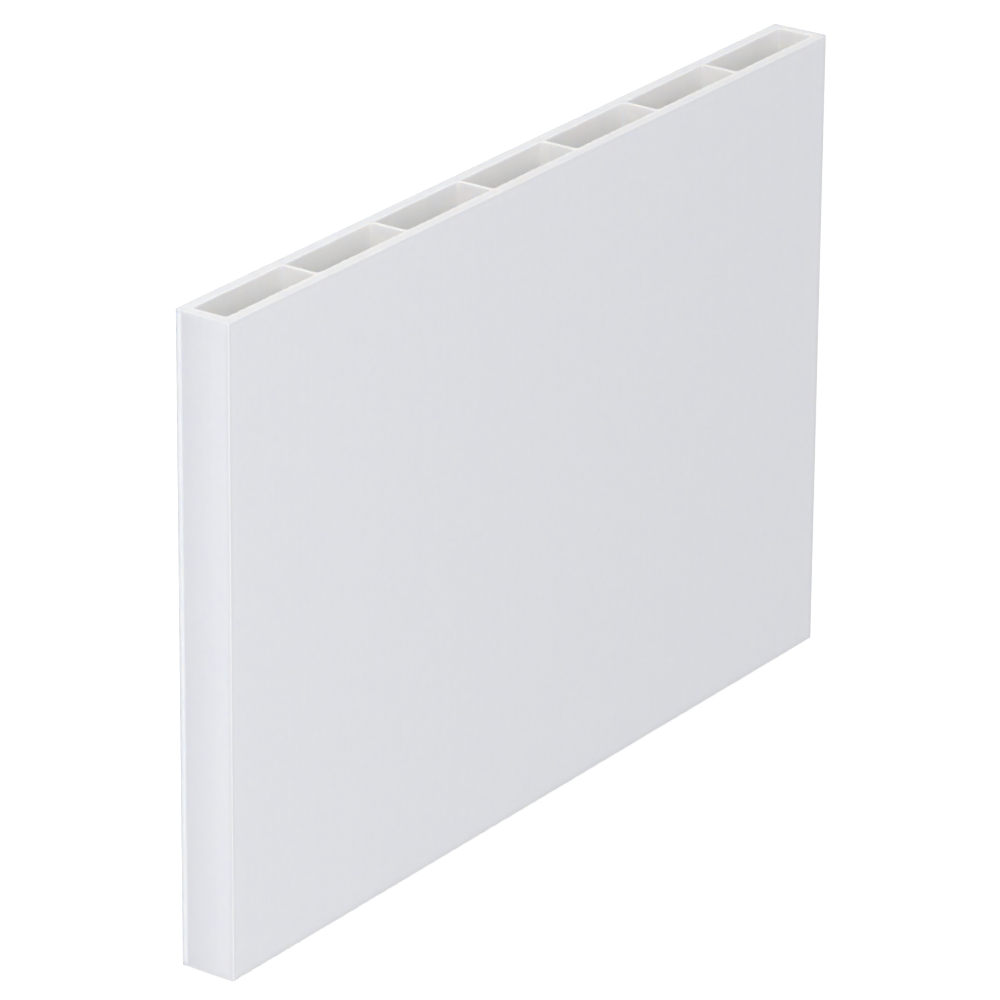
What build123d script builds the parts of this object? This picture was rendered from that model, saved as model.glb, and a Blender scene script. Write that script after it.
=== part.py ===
from build123d import *
import os

# Flat trim profile: a hollow board of rigid plastic, extruded in one piece and cut square at both ends.
# Two broad walls and two narrow side walls close the section, and thin webs part it into equal chambers.
# It lies flat. +X runs across the width, +Y along the extrusion and +Z through the thickness.
# The origin is the centre of the back face, which is the one that lies down.

# Driving dimensions, in millimetres
width = 150.0
thickness = 9.2
cut_length = 100.0
broad_wall = 1.7
side_wall = 1.7
web = 0.65
chamber_count = 7
long_edge_radius = 0.3
chamber_corner_radius = 0.5

# The chambers share what the side walls and the webs leave of the width
chamber_height = thickness - 2 * broad_wall
chamber_width = (width - 2 * side_wall - (chamber_count - 1) * web) / chamber_count
chamber_pitch = chamber_width + web

# A corner's arc leaves a flat of at least this share of the shorter side it rounds
FLAT_SHARE = 0.1
outer_radius = min(long_edge_radius, (1 - FLAT_SHARE) / 2 * thickness)
inner_radius = min(chamber_corner_radius, (1 - FLAT_SHARE) / 2 * min(chamber_height, chamber_width))

# The section is drawn on the far cut end, with its width along +X and its thickness along +Z
far_cut_end = Plane.XZ.offset(-cut_length / 2)

with BuildPart() as trim_profile:
    with BuildSketch(far_cut_end):
        with Locations((0, thickness / 2)):
            RectangleRounded(width, thickness, outer_radius)
            with GridLocations(chamber_pitch, 0, chamber_count, 1):
                RectangleRounded(chamber_width, chamber_height, inner_radius, mode=Mode.SUBTRACT)
    extrude(amount=cut_length)

trim_profile.part.label = "trim_profile"
os.makedirs("parts", exist_ok=True)
export_step(trim_profile.part, "parts/trim_profile.step")
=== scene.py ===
import math

import bmesh
import bpy
import numpy as np
from mathutils import Matrix, Vector


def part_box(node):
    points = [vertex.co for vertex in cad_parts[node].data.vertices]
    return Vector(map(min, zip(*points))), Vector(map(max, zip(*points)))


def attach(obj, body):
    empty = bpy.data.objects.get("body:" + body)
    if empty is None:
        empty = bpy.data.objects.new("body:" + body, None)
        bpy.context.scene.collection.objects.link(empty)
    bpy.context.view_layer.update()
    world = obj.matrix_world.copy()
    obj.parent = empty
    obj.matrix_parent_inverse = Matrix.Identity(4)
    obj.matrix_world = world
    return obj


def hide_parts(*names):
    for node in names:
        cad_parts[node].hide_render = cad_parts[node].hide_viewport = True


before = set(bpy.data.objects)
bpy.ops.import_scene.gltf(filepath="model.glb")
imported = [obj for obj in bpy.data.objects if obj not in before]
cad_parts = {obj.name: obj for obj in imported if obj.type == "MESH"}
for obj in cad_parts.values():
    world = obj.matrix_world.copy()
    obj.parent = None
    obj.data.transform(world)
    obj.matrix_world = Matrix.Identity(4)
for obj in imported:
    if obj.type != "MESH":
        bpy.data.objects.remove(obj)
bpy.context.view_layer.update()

MM = 0.001
TINY = 1e-12                     # what a length of nothing counts as where something is divided by it
SLACK = 0.0001 * MM              # how far off an outline a point may be and still count as on it
WELD = 0.0005 * MM               # points no further apart than this become one

# The section: overall sizes from the node's box, and the walls inside it
node_low, node_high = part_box("trim_profile")
WIDTH, LENGTH, THICKNESS = node_high - node_low
OUTLINE = (-WIDTH / 2, WIDTH / 2, 0, THICKNESS)
BROAD_WALL = 1.7 * MM
SIDE_WALL = 1.7 * MM
WEB = 0.65 * MM
CHAMBERS = 7
LONG_EDGE_RADIUS = 0.1 * MM      # smaller than the solid's own
CHAMBER_RADIUS = 0.5 * MM
CHAMBER_WIDTH = (WIDTH - 2 * SIDE_WALL - (CHAMBERS - 1) * WEB) / CHAMBERS
CHAMBER_HEIGHT = THICKNESS - 2 * BROAD_WALL
PITCH = CHAMBER_WIDTH + WEB

# What the saw leaves on the plastic
OUTER_BREAK = 0.14 * MM          # rounding of the cut's outer edge
OUTER_BREAK_RAGGED = 0.11 * MM   # how much that grows and shrinks along the edge
MOUTH_BREAK = 0.23 * MM          # rounding of a chamber's mouth
MOUTH_BREAK_RAGGED = 0.12 * MM
RAGGED_LENGTH = 1.5 * MM
CRISP = 0.15                     # share of the rounding that the crispest edges have
SAW_UNEVENNESS = 0.05 * MM       # how far the sawn face falls back at most
SAW_SLOW_LENGTH = 9 * MM         # it has slow ripples
SAW_QUICK_LENGTH = 2.2 * MM      # and quick ones
SAW_SLOW_SHARE = 0.6
SAW_FADE = 0.6 * MM              # depth over which that unevenness dies away down the walls
CUT_ZONE = 0.1 * MM              # what lies less deep than this counts as the cut
PAINTED_GLOW_BREADTH = 0.65 * MM            # breadth of the pale glow painted where light shines through a mouth's edge
BACK_CUT_PAINTED_LIGHT = 0.06         # painted light: how much paler the back wall's cut is painted
MOUTH_DEPTH = 4 * MM             # depth over which painted shade darkens the chambers towards the mouth

# What the die leaves
SKIN_WAVE = 0.02 * MM            # slow hollows in the broad outer faces
SKIN_WAVE_LENGTH = 38 * MM
SKIN_WAVE_SLANT = 0.35           # how far they drift aside for each step along the length
CHAMBER_WAVE = 0.03 * MM         # hollows along a chamber's broad walls
CHAMBER_WAVE_LENGTH = 6 * MM
CHAMBER_WAVE_SLANT = 0.06
WEB_SINK = 0.008 * MM            # depth of the shallow line over each web
WEB_SINK_WIDTH = 1.6 * MM

# How far a narrow side falls back, from the front face to the back face
SIDE_LEVEL = 2.3 * MM            # depth at which it stands out furthest
FRONT_FALL = 0.05 * MM
FRONT_FALL_POWER = 2
BACK_FALL = 0.2 * MM
BACK_FALL_POWER = 1.7
LIP_START = 8.12 * MM            # depth at which its fall ends and a narrow lip begins
LIP_BREADTH = 0.45 * MM
LIP = 0.06 * MM                  # how far the lip stands out again
FALL_FADE = 2.5 * MM             # stretch of the broad faces over which that shift dies away
SIDE_ZONE = 1 * MM               # what lies nearer than this to its plane counts as the narrow side
SIDE_PAINTED_SHADE = 0.08              # painted shade: how much darker a narrow side is painted towards the lip
LIP_PAINTED_HIGHLIGHT = 0.14              # painted highlight: how much paler the lip is painted

# Painted shade along the front's and the sides' outer edges, which darkens their highlights
EDGE_PAINTED_SHADE = 0.085
EDGE_REACH = 0.6 * MM            # how far from an edge that shows on the skin
CUT_EDGE_REACH = 0.2 * MM        # and on the fresh cut

# Steps of the grids
ACROSS_STEPS, THICK_STEPS, HALF_BEND_STEPS, SIDE_BEND_STEPS = 74, 14, 6, 16
ARC_CLOSENESS = 6                # how much closer the steps lie on an arc than on the run before it
END_ROWS, BREAK_ROWS, OUTSIDE_ROWS, CHAMBER_ROWS = 9, 6, 18, 9

# Ripples: how many waves, their lengths over the one asked for, and the height that counts as full
WAVES = 9
SHORTEST_WAVE, LONGEST_WAVE = 0.6, 1.7
FULL_HEIGHT = 0.6

# Numbers that pick the patterns of ripples; each cut end takes its own
SAW_SLOW, SAW_QUICK, EDGE_RAGGED, MOUTH_RAGGED = 20, 30, 40, 50
SKIN_TOP, SKIN_UNDER, CHAMBER_TOP, CHAMBER_UNDER = 60, 61, 70, 71


def eased(count):
    """Shares from 0 to 1 that lie closer together towards both ends, by half a turn of a cosine."""
    return (1 - np.cos(np.linspace(0, math.pi, count))) / 2


def ripples(a, b, wavelength, pattern):
    """Smooth unevenness from 0 to 1 over the plane (a, b): the sum of sine waves near one length, each
    with its own direction and phase, drawn for that pattern. It is cut off at the full height."""
    draws = np.random.default_rng(pattern).uniform(
        (0, 0, SHORTEST_WAVE), (math.tau, math.tau, LONGEST_WAVE), (WAVES, 3))
    total = 0
    for turn, phase, stretch in draws:
        onward = a * math.cos(turn) + b * math.sin(turn)
        total = total + np.sin(math.tau * onward / (wavelength * stretch) + phase)
    return 0.5 + 0.5 * np.clip(total / (FULL_HEIGHT * WAVES), -1, 1)


def bent_run(run_in, radius, run_out, steps):
    """Offsets (along, aside) on a straight run, a quarter circle and another straight run. Each half
    of that path takes equally many steps, so that the middle offset is the middle of the bend."""
    def half(run):
        arc = radius * math.pi / 4
        straight = run / (run + ARC_CLOSENESS * arc)
        travelled = np.interp(np.linspace(0, 1, steps + 1), [0, straight, 1], [0, run, run + arc])
        turned = np.maximum(travelled - run, 0) / max(radius, TINY)
        return np.minimum(travelled, run) + radius * np.sin(turned), radius * (1 - np.cos(turned))

    along, aside = half(run_in)
    far_along, far_aside = half(run_out)
    return (np.concatenate([along, (run_in + radius - far_aside)[-2::-1]]),
            np.concatenate([aside, (run_out + radius - far_along)[-2::-1]]))


def frame_loop(left, right, bottom, top, flats, left_bend, right_bend):
    """A closed clockwise loop (x, z) round a rectangle with rounded corners. A bend is given as its radius
    and the steps of half of it. The points stand over the same flats as those of the chamber's own loop,
    so that two such loops join point to point."""
    flat_left, flat_right, flat_bottom, flat_top = flats
    across = (eased(ACROSS_STEPS) + np.linspace(0, 1, ACROSS_STEPS)) / 2
    thick = eased(THICK_STEPS)
    wide, tall = flat_right - flat_left, flat_top - flat_bottom
    over, under = top - flat_top, flat_bottom - bottom
    beside_left, beside_right = flat_left - left, right - flat_right
    legs = [
        (complex(flat_left, top), 1, wide, across, beside_right, over, right_bend),
        (complex(right, flat_top), -1j, tall, thick, under, beside_right, right_bend),
        (complex(flat_right, bottom), -1, wide, across, beside_left, under, left_bend),
        (complex(left, flat_bottom), 1j, tall, thick, over, beside_left, left_bend),
    ]
    points = []
    for start, heading, flat, shares, reach_in, reach_out, (radius, steps) in legs:
        along, aside = bent_run(reach_in - radius, radius, reach_out - radius, steps)
        points.append(start + heading * flat * shares[:-1])
        points.append(start + heading * (flat + along[:-1] - 1j * aside[:-1]))
    loop = np.concatenate(points)
    return np.stack([loop.real, loop.imag], axis=1)


def rounded_normals(loop, left, right, bottom, top, radius):
    """Normals of a rounded rectangle: each points from the nearest place of its core rectangle, which
    is smaller by the radius all round. Also says which points lie on the rounded rectangle."""
    core = np.clip(loop, (left + radius, bottom + radius), (right - radius, top - radius))
    away = loop - core
    distance = np.linalg.norm(away, axis=1)
    on_it = distance > radius - SLACK
    return away / np.maximum(distance, TINY)[:, None] * on_it[:, None], on_it


def over_lip(depth):
    """0 before the lip and 1 past its start, rising as half a turn of a cosine."""
    return (1 - np.cos(math.pi * np.clip((depth - LIP_START) / LIP_BREADTH, 0, 1))) / 2


def to_lip(depth):
    """Share of the way to the lip: 0 down to where a narrow side stands out furthest, and 1 at the lip."""
    return np.clip((depth - SIDE_LEVEL) / (LIP_START - SIDE_LEVEL), 0, 1)


def side_fall(depth):
    """How far a narrow side falls back at a depth from the front face. It grows by a power of the way to
    the front face and of the way to the lip at the back, and the lip stands out again."""
    to_front = np.clip(1 - depth / SIDE_LEVEL, 0, 1)
    return (FRONT_FALL * to_front ** FRONT_FALL_POWER + BACK_FALL * to_lip(depth) ** BACK_FALL_POWER
            - LIP * over_lip(depth))


def side_shaped(loop):
    """The outer loop with its narrow sides as they really run: each point near a side moves in along X,
    by the side's fall at that depth, which fades evenly over a stretch of the broad faces."""
    x, z = loop[:, 0], loop[:, 1]
    near_side = np.clip((np.abs(x) - WIDTH / 2 + LONG_EDGE_RADIUS + FALL_FADE) / FALL_FADE, 0, 1)
    return np.stack([x - np.sign(x) * side_fall(THICKNESS - z) * near_side, z], axis=1)


def broad_share(into):
    """1 on the broad walls, and less round the corners, by the fourth power of the slope."""
    return np.abs(into[:, 1]) ** 4


def skin_fall(loop, into, y):
    """How far an outer face falls back: long slow hollows in the broad faces, and a shallow line over
    each web, as a bell curve of the distance from it."""
    x = loop[:, 0]
    slanted = SKIN_WAVE_SLANT * y
    hollows = np.where(into[:, 1] < 0, ripples(x, slanted, SKIN_WAVE_LENGTH, SKIN_TOP),
                       ripples(x, slanted, SKIN_WAVE_LENGTH, SKIN_UNDER))
    from_web = np.abs((x / PITCH + CHAMBERS / 2 + 0.5) % 1 - 0.5) * PITCH
    sink = np.exp(-(from_web / WEB_SINK_WIDTH) ** 2)
    return (SKIN_WAVE * hollows + WEB_SINK * sink) * broad_share(into)


def chamber_fall(loop, into, y):
    """How far a chamber's wall falls back: hollows side by side on the broad walls, nearly the same all
    along the length, as the die draws them."""
    x = loop[:, 0]
    slanted = CHAMBER_WAVE_SLANT * y
    hollows = np.where(into[:, 1] > 0, ripples(x, slanted, CHAMBER_WAVE_LENGTH, CHAMBER_TOP),
                       ripples(x, slanted, CHAMBER_WAVE_LENGTH, CHAMBER_UNDER))
    return CHAMBER_WAVE * hollows * broad_share(into)


def saw_fall(x, z, end):
    """How far the sawn face falls back at (x, z): ripples of two lengths, one slow and one quick."""
    slow = ripples(x, z, SAW_SLOW_LENGTH, SAW_SLOW + end)
    quick = ripples(x, z, SAW_QUICK_LENGTH, SAW_QUICK + end)
    return SAW_UNEVENNESS * (SAW_SLOW_SHARE * slow + (1 - SAW_SLOW_SHARE) * quick)


def edge_breaks(loop, softness, radius, ragged, pattern):
    """Radii of the rounding where a wall meets each of the two sawn faces: the full radius times the
    edge's softness, more or less a ragged part that grows as its square up to half the full softness."""
    unevenness = ragged * np.minimum(2 * softness, 1) ** 2
    return [softness * radius
            + unevenness * (2 * ripples(loop[:, 0], loop[:, 1], RAGGED_LENGTH, pattern + end) - 1)
            for end in (0, 1)]


def outer_breaks(loop, into):
    """Radii along the outer edges: the saw breaks the front face's edge, by the slope towards it, and
    leaves those of the sides and the back face crisp."""
    softness = CRISP + (1 - CRISP) * np.clip(-into[:, 1], 0, 1)
    return edge_breaks(loop, softness, OUTER_BREAK, OUTER_BREAK_RAGGED, EDGE_RAGGED)


def mouth_breaks(loop, into):
    """Radii round a mouth: the saw breaks its edge most on the back wall, half as much on the front
    wall, and leaves it crisp on the webs."""
    softness = CRISP + (1 - CRISP) * np.maximum(-into[:, 1], 0.5 * into[:, 1])
    return edge_breaks(loop, softness, MOUTH_BREAK, MOUTH_BREAK_RAGGED, MOUTH_RAGGED)


def drawn_wall(loop, into, breaks, fall, rows):
    """A wall along the length: the loop carried from one cut to the other. At each cut it turns over a
    quarter circle of the edge's own radius r: at a depth of r(1 - cos) it stands r(1 - sin) further
    into the plastic. `into` points into the plastic, and `fall` gives the wall's own unevenness."""
    angle = np.linspace(0, math.pi / 2, BREAK_ROWS)[:, None]
    near_y = -LENGTH / 2 + breaks[0] * (1 - np.cos(angle))
    far_y = (LENGTH / 2 - breaks[1] * (1 - np.cos(angle)))[::-1]
    middle_y = near_y[-1] + eased(rows)[1:-1, None] * (far_y[0] - near_y[-1])
    y = np.concatenate([near_y, middle_y, far_y])
    turned = np.concatenate([breaks[0] * (1 - np.sin(angle)), 0 * middle_y,
                             (breaks[1] * (1 - np.sin(angle)))[::-1]])
    moved = turned + fall(loop, into, y)
    return loop[:, 0] + into[:, 0] * moved, y, loop[:, 1] + into[:, 1] * moved


def sawn(x, y, z):
    """Moves points near either cut back by the saw's unevenness, which fades with depth."""
    near_depth, far_depth = y + LENGTH / 2, LENGTH / 2 - y
    return (y + saw_fall(x, z, 0) * np.exp(-near_depth / SAW_FADE)
            - saw_fall(x, z, 1) * np.exp(-far_depth / SAW_FADE))


DRAWN, SAWN, CHAMBER = 0, 1, 2


def closed_grid(x, y, z, finish):
    """The points of a grid that closes round its columns, its faces, and each face's finish, which is
    given row by row."""
    rows, columns = x.shape
    index = np.arange(rows * columns).reshape(rows, columns)
    beside = np.roll(index, -1, axis=1)
    faces = np.stack([index[:-1], beside[:-1], beside[1:], index[1:]], axis=-1).reshape(-1, 4)
    finishes = np.broadcast_to(np.asarray(finish)[:, None], (rows - 1, columns)).reshape(-1)
    return np.stack([x, sawn(x, y, z), z], axis=-1).reshape(-1, 3), faces, finishes


def wall_finish(rows, finish):
    """The finish of each row of a wall: sawn on the two broken edges, and its own between them."""
    edge = [SAWN] * (BREAK_ROWS - 1)
    return edge + [finish] * (rows - 1) + edge


def chamber_grids(number):
    """A chamber's wall, and at each cut end a ring round its mouth, blended straight from the mouth to
    the ring's outer edge. That edge runs down the middle of the webs and along the profile's outline.
    Also gives its points on the outline."""
    centre = (number - (CHAMBERS - 1) / 2) * PITCH
    first, last = number == 0, number == CHAMBERS - 1
    inner = (centre - CHAMBER_WIDTH / 2, centre + CHAMBER_WIDTH / 2, BROAD_WALL, THICKNESS - BROAD_WALL)
    flats = (inner[0] + CHAMBER_RADIUS, inner[1] - CHAMBER_RADIUS,
             inner[2] + CHAMBER_RADIUS, inner[3] - CHAMBER_RADIUS)
    left_steps = SIDE_BEND_STEPS if first else HALF_BEND_STEPS
    right_steps = SIDE_BEND_STEPS if last else HALF_BEND_STEPS
    mouth = frame_loop(*inner, flats, (CHAMBER_RADIUS, left_steps), (CHAMBER_RADIUS, right_steps))
    rim = frame_loop(-WIDTH / 2 if first else centre - PITCH / 2,
                     WIDTH / 2 if last else centre + PITCH / 2, 0, THICKNESS, flats,
                     (LONG_EDGE_RADIUS * first, left_steps), (LONG_EDGE_RADIUS * last, right_steps))
    mouth_into, _ = rounded_normals(mouth, *inner, CHAMBER_RADIUS)
    rim_normal, on_outline = rounded_normals(rim, *OUTLINE, LONG_EDGE_RADIUS)
    rim_into = -rim_normal
    on_outside = rim[on_outline]
    rim = side_shaped(rim)

    mouth_radii, rim_radii = mouth_breaks(mouth, mouth_into), outer_breaks(rim, rim_into)
    grids = [closed_grid(*drawn_wall(mouth, mouth_into, mouth_radii, chamber_fall, CHAMBER_ROWS),
                         wall_finish(CHAMBER_ROWS, CHAMBER))]
    blend = np.linspace(0, 1, END_ROWS)[:, None, None]
    for end, y in enumerate((-LENGTH / 2, LENGTH / 2)):
        inside = mouth + mouth_into * (mouth_radii[end] + chamber_fall(mouth, mouth_into, y))[:, None]
        outer = rim + rim_into * (rim_radii[end] + skin_fall(rim, rim_into, y))[:, None]
        ring = inside + blend * (outer - inside)
        grids.append(closed_grid(ring[..., 0], np.full(ring.shape[:2], y), ring[..., 1],
                                 [SAWN] * (END_ROWS - 1)))
    return grids, on_outside


def outside_grid(outline):
    """The outer skin from the points of the outline, which are put in order by their direction from its
    middle. Points that two neighbours share have the same direction and are taken once."""
    direction = np.round(np.arctan2(outline[:, 1] - THICKNESS / 2, outline[:, 0]), 9)
    _, order = np.unique(-direction, return_index=True)
    outline = outline[order]
    normal, _ = rounded_normals(outline, *OUTLINE, LONG_EDGE_RADIUS)
    outline = side_shaped(outline)
    wall = drawn_wall(outline, -normal, outer_breaks(outline, -normal), skin_fall, OUTSIDE_ROWS)
    return closed_grid(*wall, wall_finish(OUTSIDE_ROWS, DRAWN))


def profile_grids():
    """All grids of the profile, which together are one closed surface."""
    grids, outside = [], []
    for number in range(CHAMBERS):
        chamber, on_outside = chamber_grids(number)
        grids += chamber
        outside.append(on_outside)
    return grids + [outside_grid(np.concatenate(outside))]


def painted_glow_share(points):
    """How much painted glow stands in for light shining through a mouth's edge: for each of the two
    nearest chambers it falls exponentially with the distance, which is that of a rounded rectangle. The
    two are added up to 1, so that a web is painted palest, and the thick back wall shows none."""
    x, z = points[:, 0], points[:, 2]
    above = np.maximum(np.abs(z - THICKNESS / 2) - (CHAMBER_HEIGHT / 2 - CHAMBER_RADIUS), 0)
    light = 0
    for number in (np.floor(x / PITCH), np.floor(x / PITCH) + 1):
        beside = np.maximum(np.abs(x - number * PITCH) - (CHAMBER_WIDTH / 2 - CHAMBER_RADIUS), 0)
        distance = np.maximum(np.hypot(beside, above) - CHAMBER_RADIUS, 0)
        light = light + np.exp(-distance / PAINTED_GLOW_BREADTH) * (np.abs(number) <= CHAMBERS // 2)
    front = np.clip((z - BROAD_WALL) / CHAMBER_RADIUS, 0, 1)
    return np.minimum(light, 1) * front


def painted_light_and_shade(points):
    """Painted light and shade, as the share of its own colour that the plastic shows. On a narrow side it
    falls in proportion to the way to the lip, as painted shade, and is higher on the lip, as a painted
    highlight. On a cut end it rises towards the back wall, as painted light, though less and less across
    the narrow sides' own walls. Along the front's and the sides' outer edges it falls as a bell curve of
    the distance from the edge, as painted shade over their highlights; that distance is the second
    smallest of those from the side, the cut and the front."""
    depth = THICKNESS - points[:, 2]
    from_side, from_cut = WIDTH / 2 - np.abs(points[:, 0]), LENGTH / 2 - np.abs(points[:, 1])
    on_cut = from_cut < CUT_ZONE
    lip = over_lip(depth)
    # painted highlight on the lip, and painted shade on a narrow side towards it
    side = (from_side < SIDE_ZONE) * (LIP_PAINTED_HIGHLIGHT * lip - SIDE_PAINTED_SHADE * to_lip(depth) * (1 - lip))
    to_back_wall = np.clip((depth - THICKNESS / 2) / (THICKNESS / 2 - BROAD_WALL), 0, 1)
    # painted light: the cut end paler towards the back wall
    cut = BACK_CUT_PAINTED_LIGHT * to_back_wall * np.clip(from_side / SIDE_WALL, 0, 1)
    from_edge = np.sort([from_side - side_fall(depth), from_cut, depth], axis=0)[1]
    # painted shade that darkens the highlights along the outer edges
    edge = EDGE_PAINTED_SHADE * np.exp(-(from_edge / np.where(on_cut, CUT_EDGE_REACH, EDGE_REACH)) ** 2)
    return 1 - edge + np.where(on_cut, cut, side)


def near_mouth(points):
    """How near a chamber's mouth a point is: 1 at the cut, and evenly down to 0 at a set depth."""
    return np.clip(1 - (LENGTH / 2 - np.abs(points[:, 1])) / MOUTH_DEPTH, 0, 1)


def join_grids(name, grids, finishes):
    """One object from the grids, with the seams between them welded and the faces turned outwards. Its
    points keep the three values that the materials read."""
    starts = np.cumsum([0] + [len(points) for points, _, _ in grids[:-1]])
    mesh = bpy.data.meshes.new(name)
    mesh.from_pydata(np.concatenate([points for points, _, _ in grids]), [],
                     np.concatenate([faces + start for (_, faces, _), start in zip(grids, starts)]))
    finish_numbers = np.concatenate([numbers for _, _, numbers in grids]).astype(np.int32)
    mesh.polygons.foreach_set("material_index", finish_numbers)
    for finish in finishes:
        mesh.materials.append(finish)
    shape = bmesh.new()
    shape.from_mesh(mesh)
    bmesh.ops.remove_doubles(shape, verts=shape.verts, dist=WELD)
    bmesh.ops.recalc_face_normals(shape, faces=shape.faces)
    shape.to_mesh(mesh)
    shape.free()
    mesh.polygons.foreach_set("use_smooth", np.ones(len(mesh.polygons), bool))
    welded = np.empty(3 * len(mesh.vertices))
    mesh.vertices.foreach_get("co", welded)
    welded = welded.reshape(-1, 3)
    # the second value is painted light and shade on the skin and the cut ends
    for label, values in (("painted_glow_share", painted_glow_share(welded)), ("painted_light_and_shade", painted_light_and_shade(welded)),
                          ("near_mouth", near_mouth(welded))):
        mesh.attributes.new(label, "FLOAT", "POINT").data.foreach_set("value", values)
    piece = bpy.data.objects.new(name, mesh)
    bpy.context.scene.collection.objects.link(piece)
    return piece


# The plastic; lengths in this section are in millimetres
PLASTIC_IOR = 1.53
SHINE = 0.25                     # half of what the index alone would give, for a fine-grained surface
SCATTER_SHARE = 1.0
SCATTER = (0.9, 0.8, 0.65)       # how far red, green and blue light travel inside it
SAWN_SCATTER = 0.4               # share of that which the rough cut leaves
CHAMBER_SCATTER = 0.4            # and which the chambers' walls show, so that their corners stay crisp
NOISE_LOW, NOISE_HIGH = 0.35, 0.65   # noise mostly stays between these

# The drawn skin: a cool white, with sizes along X, Y and Z of its lines and of its mottle
SKIN_COLOURS = (0.792, 0.801, 0.84), (0.806, 0.816, 0.854)
SKIN_ROUGHNESS = 0.36, 0.45
SKIN_LINES = 0.7, 70, 0.7
SKIN_MOTTLE = 0.9, 1.3, 0.9
MOTTLE_SHARE = 0.6
SKIN_RELIEF = 0.004

# The sawn ends: white, and a painted cream glow in patches where light shines through
CUT_COLOUR = (0.83, 0.832, 0.857)
CREAM = (0.985, 0.955, 0.915)
CREAM_PATCHES = 1.1, 1.1, 1.1
CREAM_LEAST, CREAM_MOST = 0.85, 1.15
CUT_ROUGHNESS = 0.58, 0.74
CUT_GRIT = 0.25, 0.25, 0.25
GRIT_SHARE = 0.6
SAW_AXLE = 30, 0, 125            # centre of the arcs that the teeth left
SAW_ARCS = 420                   # scale of their waves, which gives about 0.75 mm from arc to arc
ARC_WANDER = 1.5
CUT_RELIEF = 0.012

# The chambers' walls: warmer, and paler than the skin as painted light, with wide bands and fine lines,
# and painted shade towards the mouth
CHAMBER_COLOURS = (0.968, 0.954, 0.936), (0.992, 0.978, 0.957)
# painted shade near the mouth
MOUTH_PAINTED_SHADE = (0.89, 0.9, 0.932)
CHAMBER_ROUGHNESS = 0.44, 0.56
CHAMBER_BANDS = 3.2, 160, 3.2
CHAMBER_LINES = 0.5, 45, 0.5
CHAMBER_LINES_SHARE = 0.4
CHAMBER_RELIEF = 0.01


def feed(tree, socket, value):
    """Links the value to the socket if it is one itself, and otherwise sets the socket to it."""
    if isinstance(value, bpy.types.NodeSocket):
        tree.links.new(value, socket)
    else:
        socket.default_value = value


def add_node(tree, kind, **inputs):
    """A new node with its inputs linked or set."""
    node = tree.nodes.new("ShaderNode" + kind)
    for name, value in inputs.items():
        feed(tree, node.inputs[name.replace("_", " ")], value)
    return node


def combined(tree, kind, operation, first, second):
    """What an operation makes of two values."""
    node = add_node(tree, kind)
    node.operation = operation
    feed(tree, node.inputs[0], first)
    feed(tree, node.inputs[1], second)
    return node.outputs[0]


def new_plastic(name, scatter_scale):
    """A new material with its node tree and its shader, which has what is even all over."""
    material = bpy.data.materials.new(name)
    material.use_nodes = True
    plastic = material.node_tree.nodes["Principled BSDF"]
    plastic.inputs["IOR"].default_value = PLASTIC_IOR
    plastic.inputs["Specular IOR Level"].default_value = SHINE
    plastic.inputs["Subsurface Weight"].default_value = SCATTER_SHARE
    plastic.inputs["Subsurface Radius"].default_value = SCATTER
    plastic.inputs["Subsurface Scale"].default_value = scatter_scale * MM
    return material, material.node_tree, plastic


def point_value(tree, name):
    """The mesh's own value of that name, one for each point."""
    node = add_node(tree, "Attribute")
    node.attribute_name = name
    return node.outputs["Fac"]


def with_painted_light_and_shade(tree, colour):
    """The colour times the mesh's painted light and shade."""
    return combined(tree, "VectorMath", "MULTIPLY", colour, point_value(tree, "painted_light_and_shade"))


def grain(tree, spacing, detail=2.0):
    """Noise from 0 to 1 whose grains are about as long as `spacing` along X, Y and Z."""
    place = add_node(tree, "TexCoord").outputs["Object"]
    scaled = add_node(tree, "Mapping", Vector=place, Scale=[1 / (step * MM) for step in spacing])
    return add_node(tree, "TexNoise", Vector=scaled.outputs[0], Scale=1.0, Detail=detail).outputs["Fac"]


def mean_of(tree, first, second, share):
    """A mean of two values, in which the second one has the share given."""
    return add_node(tree, "Mix", Factor=share, A=first, B=second).outputs["Result"]


def between(tree, noise, low, high):
    """Carries a noise from the range where it mostly stays to the range from low to high."""
    return add_node(tree, "MapRange", Value=noise, From_Min=NOISE_LOW, From_Max=NOISE_HIGH,
                    To_Min=low, To_Max=high).outputs[0]


def tint(tree, share, first, second, start=0.0, end=1.0):
    """The first colour where the share is at `start` or under it, the second from `end` up."""
    ramp = add_node(tree, "ValToRGB", Fac=share)
    for stop, position, colour in zip(ramp.color_ramp.elements, (start, end), (first, second)):
        stop.position = position
        stop.color = (*colour, 1)
    return ramp.outputs["Color"]


def finish_plastic(tree, plastic, colour, roughness, height, depth):
    """Gives the shader its colour and roughness, and a relief of that depth."""
    bump = add_node(tree, "Bump", Height=height, Distance=depth * MM, Strength=1.0)
    tree.links.new(colour, plastic.inputs["Base Color"])
    tree.links.new(roughness, plastic.inputs["Roughness"])
    tree.links.new(bump.outputs["Normal"], plastic.inputs["Normal"])


def drawn_plastic():
    """The outer skin: cool white and satin, with fine lines that the die drew along the length."""
    material, tree, plastic = new_plastic("drawn_white_plastic", 1)
    lines = grain(tree, SKIN_LINES, 3.0)
    both = mean_of(tree, lines, grain(tree, SKIN_MOTTLE), MOTTLE_SHARE)
    colour = tint(tree, both, *SKIN_COLOURS, NOISE_LOW, NOISE_HIGH)
    finish_plastic(tree, plastic, with_painted_light_and_shade(tree, colour), between(tree, lines, *SKIN_ROUGHNESS), both,
                   SKIN_RELIEF)
    return material


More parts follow.
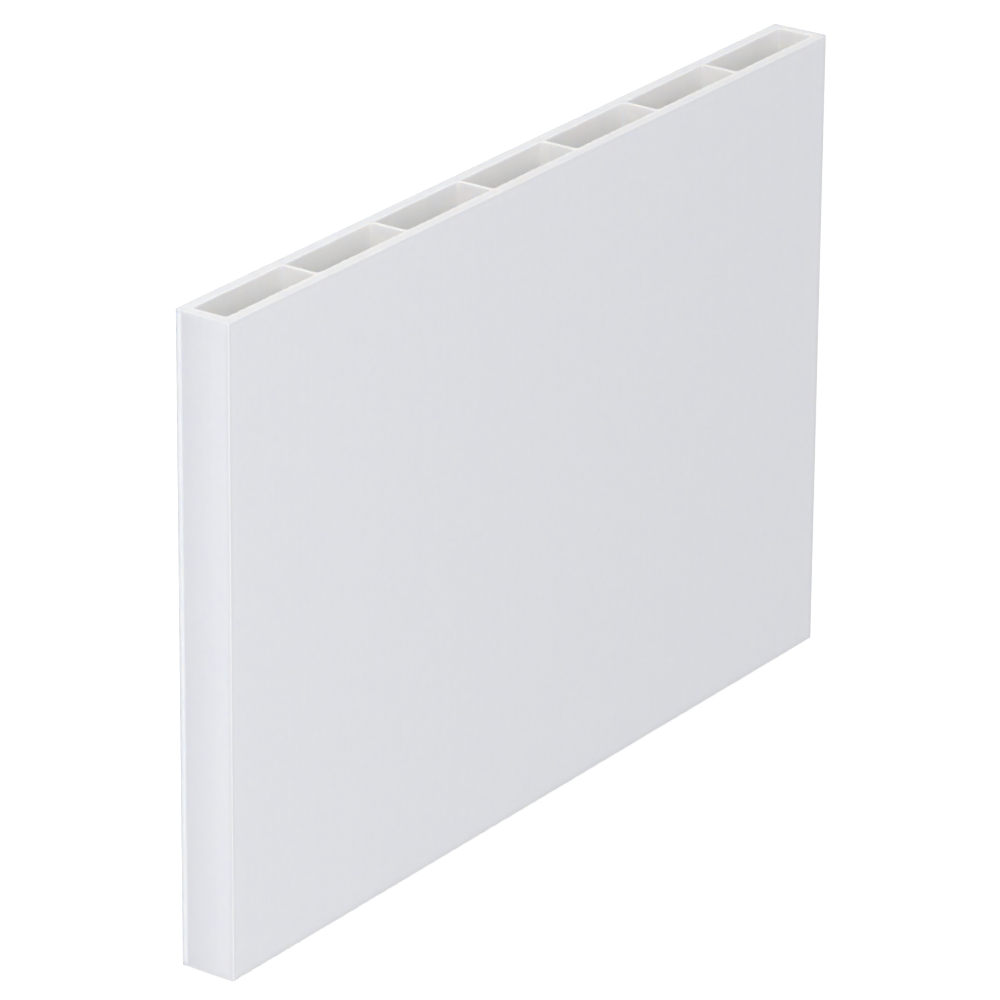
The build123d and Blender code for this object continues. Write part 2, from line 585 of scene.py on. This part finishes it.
def sawn_plastic():
    """The cut ends: matt, with the arcs of the saw's teeth, and a painted cream glow where light shines
    through the thin plastic.
    """
    material, tree, plastic = new_plastic("sawn_white_plastic", SAWN_SCATTER)
    place = add_node(tree, "TexCoord").outputs["Object"]
    from_axle = add_node(tree, "Mapping", Vector=place, Location=[-step * MM for step in SAW_AXLE])
    arcs = add_node(tree, "TexWave", Vector=from_axle.outputs[0], Scale=SAW_ARCS, Distortion=ARC_WANDER)
    arcs.wave_type = "RINGS"
    arcs.rings_direction = "Y"
    grit = grain(tree, CUT_GRIT, 3.0)
    marks = mean_of(tree, arcs.outputs["Fac"], grit, GRIT_SHARE)
    patches = between(tree, grain(tree, CREAM_PATCHES), CREAM_LEAST, CREAM_MOST)
    # painted glow: cream where light shines through the thin edges of the mouths
    painted_glow = combined(tree, "Math", "MULTIPLY", point_value(tree, "painted_glow_share"), patches)
    colour = tint(tree, painted_glow, CUT_COLOUR, CREAM)
    finish_plastic(tree, plastic, with_painted_light_and_shade(tree, colour), between(tree, grit, *CUT_ROUGHNESS), marks,
                   CUT_RELIEF)
    return material


def chamber_plastic():
    """The chambers' walls: warmer and, as painted light, paler than the skin, with uneven bands and fine
    lines along the length, and painted shade towards the mouth.
    """
    material, tree, plastic = new_plastic("chamber_white_plastic", CHAMBER_SCATTER)
    lines = grain(tree, CHAMBER_LINES, 3.0)
    both = mean_of(tree, grain(tree, CHAMBER_BANDS, 1.0), lines, CHAMBER_LINES_SHARE)
    drawn = tint(tree, both, *CHAMBER_COLOURS, NOISE_LOW, NOISE_HIGH)
    # painted shade: darker towards the mouth
    mouth = tint(tree, point_value(tree, "near_mouth"), (1, 1, 1), MOUTH_PAINTED_SHADE)
    colour = combined(tree, "VectorMath", "MULTIPLY", drawn, mouth)
    finish_plastic(tree, plastic, colour, between(tree, lines, *CHAMBER_ROUGHNESS), both, CHAMBER_RELIEF)
    return material


profile = join_grids("flat_trim_profile", profile_grids(),
                     [drawn_plastic(), sawn_plastic(), chamber_plastic()])
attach(profile, "root")
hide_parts("trim_profile")

# Camera: the photograph's view of the profile, which it shows upright with the near cut end up
VIEW_AZIMUTH, VIEW_ELEVATION, VIEW_ROLL = math.radians(63.03), math.radians(32.03), math.radians(0.44)
FOCAL_SHARE = 7.218              # focal length over the picture's width
CENTRE_PIXEL = (514.8, 484.6)    # where the profile's centre falls in the picture
PICTURE = 1000                   # the picture's width and height, in pixels
DISTANCE = 1.0612
SENSOR_WIDTH = 36
NEAREST, FURTHEST = 0.01, 20     # what the camera sees lies between these

# Light and floor
HORIZON, ZENITH = 0.36, 0.76     # the soft light's strength there
FLOOR_DROP = 0.02 * MM
FLOOR_SIZE = 8.0
FLOOR_WHITE = 0.8                # what the floor throws back on the profile
FLOOR_SEEN = 0.3                 # what the camera sees of the light and shadow on it, over an even glow
FLOOR_GLOW = 0.8
WHITE = (1, 1, 1, 1)

scene = bpy.context.scene
scene.view_settings.view_transform = "Standard"


def add_camera():
    """Places the camera on the photograph's line of sight and turns it until -Y points up."""
    back = Vector((math.sin(VIEW_AZIMUTH) * math.cos(VIEW_ELEVATION),
                   -math.cos(VIEW_AZIMUTH) * math.cos(VIEW_ELEVATION), math.sin(VIEW_ELEVATION)))
    right = Vector((0, -1, 0)).cross(back).normalized()
    up = back.cross(right)
    turn = Matrix.Rotation(VIEW_ROLL, 3, back)
    right, up = turn @ right, turn @ up
    data = bpy.data.cameras.new("camera")
    data.sensor_width = SENSOR_WIDTH
    data.lens = FOCAL_SHARE * SENSOR_WIDTH
    data.clip_start, data.clip_end = NEAREST, FURTHEST
    camera = bpy.data.objects.new("camera", data)
    scene.collection.objects.link(camera)
    aside = (CENTRE_PIXEL[0] / PICTURE - 0.5) / FOCAL_SHARE * DISTANCE
    above = (0.5 - CENTRE_PIXEL[1] / PICTURE) / FOCAL_SHARE * DISTANCE
    place = Vector((0, 0, THICKNESS / 2)) + back * DISTANCE - right * aside - up * above
    camera.matrix_world = Matrix.Translation(place) @ Matrix((right, up, back)).transposed().to_4x4()
    scene.camera = camera


def light_path_mix(tree, seen, other, target):
    """Sends `seen` to camera rays and reflections, and `other` to every other ray."""
    path = add_node(tree, "LightPath").outputs
    either = combined(tree, "Math", "MAXIMUM", path["Is Camera Ray"], path["Is Glossy Ray"])
    mix = add_node(tree, "MixShader", Fac=either)
    tree.links.new(other, mix.inputs[1])
    tree.links.new(seen, mix.inputs[2])
    tree.links.new(mix.outputs["Shader"], target)


def add_world():
    """Soft light from all round, strongest overhead, which the camera sees as plain white."""
    world = bpy.data.worlds.new("studio")
    scene.world = world
    world.use_nodes = True
    tree = world.node_tree
    way = add_node(tree, "TexCoord").outputs["Generated"]
    height = add_node(tree, "SeparateXYZ", Vector=way).outputs["Z"]
    strength = add_node(tree, "MapRange", Value=height, To_Min=HORIZON, To_Max=ZENITH).outputs[0]
    lit = tree.nodes["Background"]
    lit.inputs["Color"].default_value = WHITE
    tree.links.new(strength, lit.inputs["Strength"])
    white = add_node(tree, "Background", Color=WHITE)
    light_path_mix(tree, white.outputs[0], lit.outputs[0], tree.nodes["World Output"].inputs["Surface"])


def add_floor():
    """A plain pale floor just under the profile. The camera sees it as white, with the soft shadow."""
    mesh = bpy.data.meshes.new("floor")
    half = FLOOR_SIZE / 2
    ways = (-1, -1), (1, -1), (1, 1), (-1, 1)
    mesh.from_pydata([(half * x, half * y, -FLOOR_DROP) for x, y in ways], [], [(0, 1, 2, 3)])
    floor = bpy.data.objects.new("floor", mesh)
    scene.collection.objects.link(floor)
    material = bpy.data.materials.new("floor_white")
    material.use_nodes = True
    tree = material.node_tree
    tree.nodes.remove(tree.nodes["Principled BSDF"])
    matt = add_node(tree, "BsdfDiffuse", Color=(FLOOR_WHITE, FLOOR_WHITE, FLOOR_WHITE, 1))
    faint = add_node(tree, "BsdfDiffuse", Color=(FLOOR_SEEN, FLOOR_SEEN, FLOOR_SEEN, 1))
    glow = add_node(tree, "Emission", Strength=FLOOR_GLOW)
    both = add_node(tree, "AddShader")
    tree.links.new(faint.outputs[0], both.inputs[0])
    tree.links.new(glow.outputs[0], both.inputs[1])
    surface = tree.nodes["Material Output"].inputs["Surface"]
    light_path_mix(tree, both.outputs[0], matt.outputs[0], surface)
    mesh.materials.append(material)


def add_softbox(name, place, size, power):
    """A square soft lamp at `place`, turned towards the profile. The plastic's shine doesn't mirror it."""
    data = bpy.data.lights.new(name, "AREA")
    data.shape = "SQUARE"
    data.size = size
    data.energy = power
    lamp = bpy.data.objects.new(name, data)
    lamp.visible_glossy = False
    scene.collection.objects.link(lamp)
    lamp.location = place
    lamp.rotation_mode = "QUATERNION"
    lamp.rotation_quaternion = (-Vector(place)).to_track_quat("-Z", "Y")


add_camera()
add_world()
add_floor()
add_softbox("softbox_large", place=(1.12, -1.464, 0.775), size=2.0, power=25)
add_softbox("softbox_side", place=(0.28, 0.03, 0.2), size=0.2, power=0.15)
